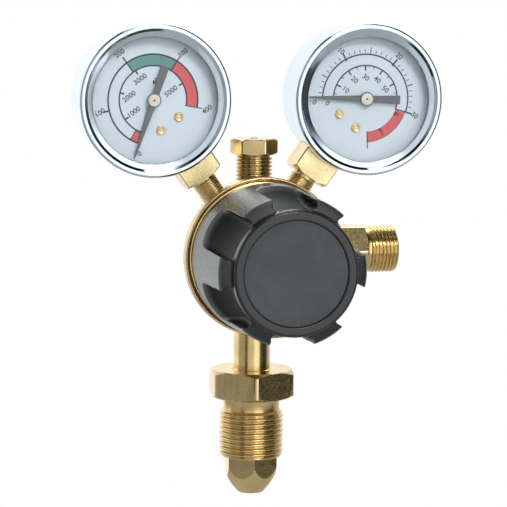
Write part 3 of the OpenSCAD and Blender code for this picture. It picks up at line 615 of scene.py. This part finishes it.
def make_outlet():
    bm = bmesh.new()
    start = PORT_FLOOR + 0.7
    end = OUTLET_HEX_END + 2 + PORT_PITCH * OUTLET_CRESTS
    stem_r = PORT_THREAD_R - 0.84
    groove = OUTLET_R - 1.1
    rings = [ring(OUTLET_BORE_R, start), ring(stem_r, start), ring(stem_r, OUTLET_HEX_IN - 0.1)]
    rings += hex_rings(OUTLET_FLATS, OUTLET_HEX_IN, OUTLET_HEX_END - OUTLET_HEX_IN)
    for r, up in ((groove + 0.77, 0.02), (groove + 0.12, 0.2), (groove, 0.6), (groove, 1.4)):
        rings.append(ring(r, OUTLET_HEX_END + up))
    rings += thread_rings(OUTLET_R, 0.88, PORT_PITCH, OUTLET_HEX_END + 1.5, end,
                          fade=(0.5, 0), nose=0.7)
    rings += [ring(6.3, end), ring(5.95, end - 0.12), ring(OUTLET_BORE_R, end - 4.4)]
    add_rings(bm, rings)
    finish_mesh("connector_outlet", bm, port(90), "regulator", m_outlet, ["outlet_connector"])


make_outlet()

# ---- relief valve ----

def make_relief():
    bm = bmesh.new()
    start, inlet_r = PORT_FLOOR + 0.5, 1.5
    cavity = PORT_FLOOR + 2.6, RELIEF_HEX_Z + 3.8
    top = RELIEF_HEX_Z + RELIEF_HEX_H
    rings = [ring(inlet_r, start), ring(PORT_THREAD_R - PORT_DEPTH, start)]
    rings += thread_rings(PORT_THREAD_R, PORT_DEPTH, PORT_PITCH, start, RELIEF_HEX_Z - 0.4,
                          per=10, fade=(1, 0.5))
    rings += [ring(PORT_THREAD_R - 0.81, RELIEF_HEX_Z - 0.05)]
    rings += hex_rings(RELIEF_FLATS, RELIEF_HEX_Z, RELIEF_HEX_H, math.radians(RELIEF_TURN))
    rings += [ring(RELIEF_VENT_R + 0.5, top), ring(RELIEF_VENT_R, top - 0.4),
              ring(RELIEF_VENT_R, cavity[1] + 0.1), ring(RELIEF_CAVITY_R, cavity[1]),
              ring(RELIEF_CAVITY_R, cavity[0]), ring(inlet_r, cavity[0])]
    add_rings(bm, rings)
    finish_mesh("valve_relief_body", bm, port(0), "regulator", m_relief, ["relief_body"])


make_relief()

# ---- gauges ----

def block_rings(side, z0, z1, low_cut, high_cut):
    """Square bar with worn corners, its lower end rounded off by a cone."""
    wear = 0.975
    shape = prong(side, 0.0, 4, wear)
    corner = side / math.sqrt(2) * wear
    rim = side / 2 + 0.8
    levels = [(z0 + low_cut * k / 8, rim + (corner - rim) * k / 8) for k in range(9)]
    levels += [(z1 - high_cut * (1 - k / 4), corner - high_cut * k / 4) for k in range(5)]
    return [ring(lambda a, r=r: min(shape(a), r), z) for z, r in levels]


def add_block(bm, x, y, z, cut):
    """Box between pairs of limits, with its edges broken."""
    rings = []
    for q, inset in ((z[0], cut), (z[0] + cut, 0.0), (z[1] - cut, 0.0), (z[1], cut)):
        x0, x1, y0, y1 = x[0] + inset, x[1] - inset, y[0] + inset, y[1] - inset
        rings.append([(x0 + cut, y0, q), (x1 - cut, y0, q), (x1, y0 + cut, q), (x1, y1 - cut, q),
                      (x1 - cut, y1, q), (x0 + cut, y1, q), (x0, y1 - cut, q), (x0, y0 + cut, q)])
    add_rings(bm, rings, caps=True)


def make_socket(side, prefix, mat):
    """Wrench block, threaded stem and inner block, measured downward from the gauge's centre."""
    bm = bmesh.new()
    down = Matrix.Rotation(math.pi, 4, "X")
    stem_end = GAUGE_REACH - PORT_FLOOR - 0.6
    thread_end = stem_end - 0.2
    block_top = CASE_R - 3.2
    bore_r, neck_r = 1.5, 4.35
    rings = [ring(bore_r, stem_end), ring(4.2, stem_end)]
    rings += thread_rings(GAUGE_THREAD_R, 0.58, 0.907, BLOCK_LOW + 1.1, thread_end, per=10,
                          fade=(0.6, 0))[::-1]
    rings += [ring(neck_r, BLOCK_LOW + 1), ring(neck_r, BLOCK_LOW + 0.02)]
    rings += block_rings(BLOCK_SIDE, BLOCK_LOW, block_top, -1.1, -0.4)
    rings += [ring(bore_r, block_top)]
    add_rings(bm, rings)
    add_block(bm, (-6.0, 6.0), (-10.5, 1.2), (CASE_R - 13, CASE_R - 3), 0.35)
    finish_mesh(prefix + "stem", bm, gauge(side) @ down, "regulator", mat, [prefix + "socket"],
                angle=24)


make_socket(-1, "contents_", m_contents_socket)
make_socket(1, "flow_", m_flow_socket)


def make_bezel(side, prefix):
    """Rim with a rounded bead and a low lip over the window's edge."""
    back, top = WINDOW_BACK - 3.4, WINDOW_FRONT + 1.52
    inner = CASE_R + 0.02
    outline = [(inner, back), (BEZEL_R, back), (BEZEL_R, top), (BEZEL_R - 1.8, top),
               (BEZEL_R - 2.7, top - 0.77), (LIP_R + 0.15, WINDOW_FRONT + 0.35),
               (LIP_R, WINDOW_FRONT + 0.03), (inner, WINDOW_FRONT + 0.03)]
    bm = bmesh.new()
    add_lathe(bm, rounded(outline, [0, 0.3, 1.45, 0.6, 0.5, 0.25, 0.05, 0], 7))
    finish_mesh(prefix + "rim", bm, gauge(side) @ front(), "regulator", m_chrome,
                [prefix + "bezel"], angle=50)


def make_window(side, prefix):
    """Clear plate, slightly domed, with a groove near the bezel's lip."""
    bm = bmesh.new()
    edge, face, back = CASE_R - 0.15, WINDOW_FRONT + 0.01, WINDOW_BACK + 0.02
    dome = [(0.0, 0.22), (8.0, 0.21), (15.0, 0.17), (20.0, 0.1)]
    groove = [(LIP_R - 0.8, 0.08), (LIP_R - 0.6, -0.1), (LIP_R - 0.35, -0.1), (LIP_R - 0.2, 0.0)]
    outline = [(r, face + up) for r, up in dome + groove]
    outline += [(edge, face), (edge, back), (0.0, back)]
    add_lathe(bm, outline, 144)
    finish_mesh(prefix + "lens", bm, gauge(side) @ front(), "regulator", m_window,
                [prefix + "window"], angle=20)


def make_dial_screws(side, prefix):
    """Two round heads with a sunk ring round a small pip."""
    bm = bmesh.new()
    profile = [(0.0, -1.0), (0.95, -1.0), (0.95, 0.0), (1.65, 0.02), (1.65, 0.5), (1.3, 0.85),
               (0.95, 0.75), (0.85, 0.45), (0.55, 0.42), (0.35, 0.62), (0.0, 0.68)]
    outline = [(r, DIAL_F + up) for r, up in profile]
    outline = rounded(outline, [0, 0, 0, 0, 0.3, 0.25, 0.1, 0.1, 0.1, 0.15, 0], 3)
    for way in (-1, 1):
        a = math.radians(270 + DIAL_SCREW_ANGLE * way)
        place = (DIAL_SCREW_R * math.cos(a), DIAL_SCREW_R * math.sin(a), 0)
        add_lathe(bm, outline, 36, shift=place)
    finish_mesh(prefix + "rivets", bm, dial_frame(side), "regulator", m_rivet,
                [prefix + "dial_screws"], angle=50)


def make_pointer(side, prefix, rest):
    """Tapered blade with a broken front edge, on a painted hub with a dark pin."""
    bm = bmesh.new()
    half = [(-POINTER_TAIL, 1.5), (-3.4, 1.2), (0, 1.3), (POINTER_LEN - 0.6, 0.32)]
    blade = [(x, -y) for x, y in half] + [(POINTER_LEN, 0)] + half[::-1]
    low, high, cut = DIAL_F + 1.4, DIAL_F + 1.9, 0.12
    rings = []
    for z, shrink in ((low, 0.0), (high - cut, 0.0), (high, cut)):
        points = []
        for x, y in blade:
            back = shrink if x == -POINTER_TAIL else 0
            tip = shrink if x == POINTER_LEN else 0
            width = max(0.0, abs(y) - shrink)
            points.append((x + back - tip, math.copysign(width, y) if y else 0.0, z))
        rings.append(points)
    add_rings(bm, rings, 0, caps=True)
    hub = [(0.0, 0.9), (1.9, 0.9), (1.9, 1.85), (2.5, 1.88), (2.5, 2.5), (2.12, 2.5),
           (2.06, 2.44), (0.5, 2.44)]
    disc = [(0.0, 2.3), (2.1, 2.3), (2.1, 2.46), (2.0, 2.49), (0.0, 2.49)]
    pin = [(0.0, 2.4), (0.4, 2.4), (0.4, 2.62), (0.0, 2.7)]
    hub, disc, pin = ([(r, DIAL_F + up) for r, up in shape] for shape in (hub, disc, pin))
    hub = rounded(hub, [0, 0, 0, 0.1, 0.2, 0.1, 0, 0], 3)[:-1] + [(0.0, DIAL_F + 2.44)]
    add_lathe(bm, hub, 72, 0)
    add_lathe(bm, disc, 72, 1)
    add_lathe(bm, rounded(pin, [0, 0, 0.1, 0], 3), 24, 0)
    turn = Matrix.Rotation(math.radians(rest), 4, "Z")
    finish_mesh(prefix + "needle", bm, dial_frame(side) @ turn, prefix + "pointer",
                [m_pointer, m_hub], [prefix + "pointer"], angle=30)


# ---- dial print, in the dial's own frame: X right, Y up, mm, angles in degrees ----

INK_LOW, INK_HIGH = DIAL_F + 0.003, DIAL_F + 0.018
INK, GREEN, RED = 0, 1, 2  # places in a scale's list of materials
PRINT_LOOKS = [m_ink, m_green, m_red]
NUMBER_SIZE = 2.6
CONTENTS_PRINT_TURN, FLOW_PRINT_TURN = -36.0, 39.5  # from angles in the front view


def add_band(bm, r0, r1, a0, a1, mat):
    """Flat printed arc."""
    steps = max(2, int(abs(a1 - a0) / 2.0))
    columns = []
    for k in range(steps + 1):
        a = math.radians(a0 + (a1 - a0) * k / steps)
        c, s = math.cos(a), math.sin(a)
        columns.append([bm.verts.new((r * c, r * s, z)) for r, z in
                        ((r0, INK_LOW), (r1, INK_LOW), (r1, INK_HIGH), (r0, INK_HIGH))])
    for p, q in zip(columns, columns[1:]):
        for i in range(4):
            j = (i + 1) % 4
            bm.faces.new((p[i], p[j], q[j], q[i])).material_index = mat
    for end in (columns[0], columns[-1]):
        bm.faces.new(end).material_index = mat


def add_tick(bm, a, r0, r1, width):
    """Printed line along a radius, a little proud of the arcs."""
    lift = 0.004
    a = math.radians(a)
    u, v = Vector((math.cos(a), math.sin(a))), Vector((-math.sin(a), math.cos(a)))
    corners = [u * r0 - v * width / 2, u * r1 - v * width / 2, u * r1 + v * width / 2,
               u * r0 + v * width / 2]
    rings = [[(p.x, p.y, z) for p in corners] for z in (INK_LOW, INK_HIGH + lift)]
    add_rings(bm, rings, INK, caps=True)


def add_number(bm, text, r, a, size=NUMBER_SIZE):
    """Number set upright and centred at a radius and angle."""
    curve = bpy.data.curves.new("number", "FONT")
    curve.body = text
    curve.size = size
    curve.align_x = "CENTER"
    curve.align_y = "CENTER"
    curve.extrude = 0.006
    curve.offset = 0.045
    curve.resolution_u = 3
    holder = bpy.data.objects.new("number", curve)
    bpy.context.scene.collection.objects.link(holder)
    bpy.context.view_layer.update()
    mesh = bpy.data.meshes.new_from_object(
        holder.evaluated_get(bpy.context.evaluated_depsgraph_get()))
    a = math.radians(a)
    mesh.transform(Matrix.Translation((r * math.cos(a), r * math.sin(a), DIAL_F + 0.012)))
    first = len(bm.faces)
    bm.from_mesh(mesh)
    bm.faces.ensure_lookup_table()
    for f in bm.faces[first:]:
        f.material_index = INK
    bpy.data.objects.remove(holder)
    bpy.data.curves.remove(curve)
    bpy.data.meshes.remove(mesh)


def print_contents():
    """Pressure scale in two units, with a green and two red fields."""
    bm = bmesh.new()
    t = CONTENTS_PRINT_TURN
    zero, full = 252.5 + t, -10 + t
    green, red = 126 + t, 58 + t  # where each field starts
    add_band(bm, 15.6, 16.2, zero, full, INK)
    add_band(bm, 11.7, 12.25, zero, full, INK)
    add_band(bm, 12.25, 15.65, green, red, GREEN)
    add_band(bm, 12.25, 15.65, red, full, RED)
    add_band(bm, 12.25, 15.65, zero, 240 + t, RED)
    outer_ticks = ((193.5, 15.9, 18.0, 0.6), (126, 12.0, 18.4, 0.55), (58, 12.0, 17.8, 0.45),
                   (-10, 11.6, 17.8, 0.36), (240, 12.0, 15.9, 0.36), (252.5, 11.8, 17.6, 0.3))
    for a, r0, r1, width in outer_ticks:
        add_tick(bm, a + t, r0, r1, width)
    for a in (214.5, 168, 121.5, 75, 28.5):
        add_tick(bm, a + t, 10.4, 12.1, 0.6)
    outer_numbers = (("0", 19.3, 256.0), ("100", 19.2, 193.4), ("200", 20.0, 126.3),
                     ("300", 19.3, 57.2), ("400", 19.6, -10.2))
    for text, r, a in outer_numbers:
        add_number(bm, text, r, a + t, 2.55)
    inner_numbers = (("1000", 8.0, 212), ("2000", 8.5, 172), ("3000", 8.5, 122.4),
                     ("4000", 7.4, 75), ("5000", 7.0, 24.8))
    for text, r, a in inner_numbers:
        add_number(bm, text, r, a + t)
    finish_mesh("contents_scale", bm, dial_frame(-1), "regulator", PRINT_LOOKS,
                angle=20)


def print_flow():
    """Flow scale inside and out, with a red field past its full mark."""
    bm = bmesh.new()
    t = FLOW_PRINT_TURN
    start, full, end = 180 + t, -18 + t, -86.5 + t
    add_band(bm, 15.45, 16.0, start, full, INK)
    add_band(bm, 11.5, 12.0, start, full, INK)
    add_band(bm, 15.45, 15.6, full, end, INK)
    add_band(bm, 11.85, 12.0, full, end, INK)
    add_band(bm, 12.0, 15.45, full, end, RED)
    add_tick(bm, full, 11.6, 17.4, 0.34)
    add_tick(bm, end, 11.6, 17.8, 0.34)
    for k in range(1, 31):
        a = 186.0 - 6.8 * k + t
        if k % 10 == 0:
            add_tick(bm, a, 15.0, 18.2, 0.6)
        elif k % 5 == 0:
            add_tick(bm, a, 16.2, 18.2, 0.38)
        else:
            add_tick(bm, a, 16.3, 17.4, 0.3)
    for k in range(1, 12):
        a = 186.9 - 16.05 * k + t
        if k % 2 == 0:
            add_tick(bm, a, 9.9, 11.8, 0.55)
        else:
            add_tick(bm, a, 10.7, 11.5, 0.3)
    outer_numbers = (("0", 18.7, 183.8), ("10", 19.2, 118.7), ("20", 19.3, 50.9),
                     ("30", 19.3, -18.5))
    inner_numbers = (("10", 8.0, 156.3), ("20", 7.8, 121.4), ("30", 7.5, 90), ("40", 7.9, 57.1),
                     ("50", 8.0, 24.0), ("0", 14.0, 186.5))
    for text, r, a in outer_numbers + inner_numbers:
        add_number(bm, text, r, a + t)
    finish_mesh("flow_scale", bm, dial_frame(1), "regulator", PRINT_LOOKS,
                angle=20)


for side, prefix, rest in ((-1, "contents_", CONTENTS_REST), (1, "flow_", FLOW_REST)):
    make_bezel(side, prefix)
    make_window(side, prefix)
    make_dial_screws(side, prefix)
    make_pointer(side, prefix, rest)
print_contents()
print_flow()

# ---- knob's disc ----

def make_knob_disc():
    """Flat cap with a low raised rim."""
    bm = bmesh.new()
    seat, face = KNOB_FRONT - 2.2, KNOB_FRONT - 0.6
    outline = [(0.0, seat), (KNOB_CAP_R, seat), (KNOB_CAP_R, face - 0.02),
               (KNOB_CAP_R - 0.8, face), (KNOB_CAP_R - 1.1, face - 0.1), (0.0, face - 0.1)]
    add_lathe(bm, rounded(outline, [0, 0, 0.35, 0.2, 0.25, 0], 4), 96)
    finish_mesh("knob_disc", bm, AXIS, "hand_knob", m_cap, ["knob_cap"], angle=40)


make_knob_disc()

# ---- floor, light and camera, in metres and degrees ----

FLOOR_Z, FLOOR_SIZE = -0.3, 2.0
ROOM_LEVEL = 1.85
# shares of the room's light, by azimuth from the front and by the sine of the height
ROOM_ROUND = [(-180, 0.70), (-112, 0.70), (-100, 0.28), (-58, 0.28), (-54, 0.02), (-42, 0.02),
              (-37, 0.50), (0, 0.55), (5, 1.0), (33, 1.0), (40, 0.03), (90, 0.02), (98, 0.26),
              (180, 0.70)]
ROOM_UP = [(-1.0, 0.25), (-0.6, 0.6), (-0.2, 0.95), (0.25, 1.0), (0.6, 0.85), (0.7, 0.12),
           (0.93, 0.10), (0.97, 0.6), (1.0, 0.6)]
LIGHT_TARGET = (0.0, -0.01, 0.06)
CAMERA_AZ, CAMERA_EL, CAMERA_ROLL = -13.9, 7.3, 0.62
CAMERA_DISTANCE, CAMERA_LENS, SENSOR = 0.9376, 186.4, 36.0  # lens and sensor in mm
CAMERA_TARGET = (0.00025, 0.0, (AXIS_H - 0.82) * MM)

def floor_material():
    """Pale, and pure white to the camera."""
    s = Nodes("floor_pale")
    s.set(color=(0.7, 0.7, 0.7), rough=0.9)
    path = s.add("ShaderNodeLightPath")
    s.bsdf.inputs["Emission Color"].default_value = (1, 1, 1, 1)
    s.link(path.outputs["Is Camera Ray"], s.bsdf.inputs["Emission Strength"])
    return s.mat


def make_floor():
    bm = bmesh.new()
    h = FLOOR_SIZE / 2
    bm.faces.new([bm.verts.new(p) for p in ((-h, -h, 0), (h, -h, 0), (h, h, 0), (-h, h, 0))])
    mesh = bpy.data.meshes.new("floor")
    bm.to_mesh(mesh)
    bm.free()
    mesh.transform(Matrix.Translation((0, 0, FLOOR_Z)))
    mesh.materials.append(floor_material())
    obj = bpy.data.objects.new("floor", mesh)
    bpy.context.scene.collection.objects.link(obj)


make_floor()

scene = bpy.context.scene
scene.view_settings.view_transform = "Standard"


def studio_world():
    """White to the eye, and a soft studio to the surfaces, by azimuth and height."""
    world = bpy.data.worlds.new("studio")
    scene.world = world
    world.use_nodes = True
    tree = world.node_tree
    tree.nodes.clear()

    def add(kind, **props):
        node = tree.nodes.new(kind)
        for k, v in props.items():
            setattr(node, k, v)
        return node

    def ramp(value, low, high, stops):
        span = add("ShaderNodeMapRange")
        span.inputs["From Min"].default_value = low
        span.inputs["From Max"].default_value = high
        tree.links.new(value, span.inputs["Value"])
        node = add("ShaderNodeValToRGB")
        els = node.color_ramp.elements
        while len(els) < len(stops):
            els.new(0.5)
        for e, (at, level) in zip(els, stops):
            e.position = (at - low) / (high - low)
            e.color = (level, level, level, 1)
        tree.links.new(span.outputs[0], node.inputs[0])
        return node.outputs[0]

    out = add("ShaderNodeOutputWorld")
    eye = add("ShaderNodeBackground")
    room = add("ShaderNodeBackground")
    mix = add("ShaderNodeMixShader")
    eye.inputs[0].default_value = (1, 1, 1, 1)
    room.inputs[1].default_value = ROOM_LEVEL
    path = add("ShaderNodeLightPath")
    coords = add("ShaderNodeTexCoord")
    split = add("ShaderNodeSeparateXYZ")
    tree.links.new(coords.outputs["Generated"], split.inputs[0])
    flip = add("ShaderNodeMath", operation="MULTIPLY")
    flip.inputs[1].default_value = -1.0
    tree.links.new(split.outputs["Y"], flip.inputs[0])
    turn = add("ShaderNodeMath", operation="ARCTAN2")
    tree.links.new(split.outputs["X"], turn.inputs[0])
    tree.links.new(flip.outputs[0], turn.inputs[1])
    degrees = add("ShaderNodeMath", operation="DEGREES")
    tree.links.new(turn.outputs[0], degrees.inputs[0])
    round_room = ramp(degrees.outputs[0], -180.0, 180.0, ROOM_ROUND)
    up_room = ramp(split.outputs["Z"], -1.0, 1.0, ROOM_UP)
    both = add("ShaderNodeMix", data_type="RGBA", blend_type="MULTIPLY")
    both.inputs[0].default_value = 1.0
    tree.links.new(round_room, both.inputs[6])
    tree.links.new(up_room, both.inputs[7])
    tree.links.new(both.outputs[2], room.inputs[0])
    tree.links.new(path.outputs["Is Camera Ray"], mix.inputs[0])
    tree.links.new(room.outputs[0], mix.inputs[1])
    tree.links.new(eye.outputs[0], mix.inputs[2])
    tree.links.new(mix.outputs[0], out.inputs[0])


studio_world()


def direction(azimuth, elevation):
    """Unit vector towards an azimuth from the front and an elevation."""
    az, el = math.radians(azimuth), math.radians(elevation)
    return Vector((math.sin(az) * math.cos(el), -math.cos(az) * math.cos(el), math.sin(el)))


def area(name, azimuth, elevation, distance, size, power):
    """Soft light aimed at the object's middle."""
    way = direction(azimuth, elevation)
    data = bpy.data.lights.new(name, "AREA")
    data.shape = "RECTANGLE"
    data.size, data.size_y = size
    data.energy = power
    obj = bpy.data.objects.new(name, data)
    scene.collection.objects.link(obj)
    obj.location = Vector(LIGHT_TARGET) + way * distance
    obj.rotation_euler = (-way).to_track_quat("-Z", "Y").to_euler()


area("key", 8, 34, distance=1.3, size=(0.3, 0.3), power=4.0)
area("top", 0, 80, distance=0.9, size=(0.6, 0.3), power=1.2)
area("back", 165, 40, distance=1.4, size=(0.9, 0.7), power=7.0)


def place_camera():
    data = bpy.data.cameras.new("camera")
    data.sensor_width = SENSOR
    data.lens = CAMERA_LENS
    data.clip_end = 20.0
    camera = bpy.data.objects.new("camera", data)
    scene.collection.objects.link(camera)
    away = direction(CAMERA_AZ, CAMERA_EL)
    place = Matrix.Translation(Vector(CAMERA_TARGET) + away * CAMERA_DISTANCE)
    look = (-away).to_track_quat("-Z", "Y").to_matrix().to_4x4()
    roll = Matrix.Rotation(math.radians(CAMERA_ROLL), 4, "Z")
    camera.matrix_world = place @ look @ roll
    scene.camera = camera


place_camera()
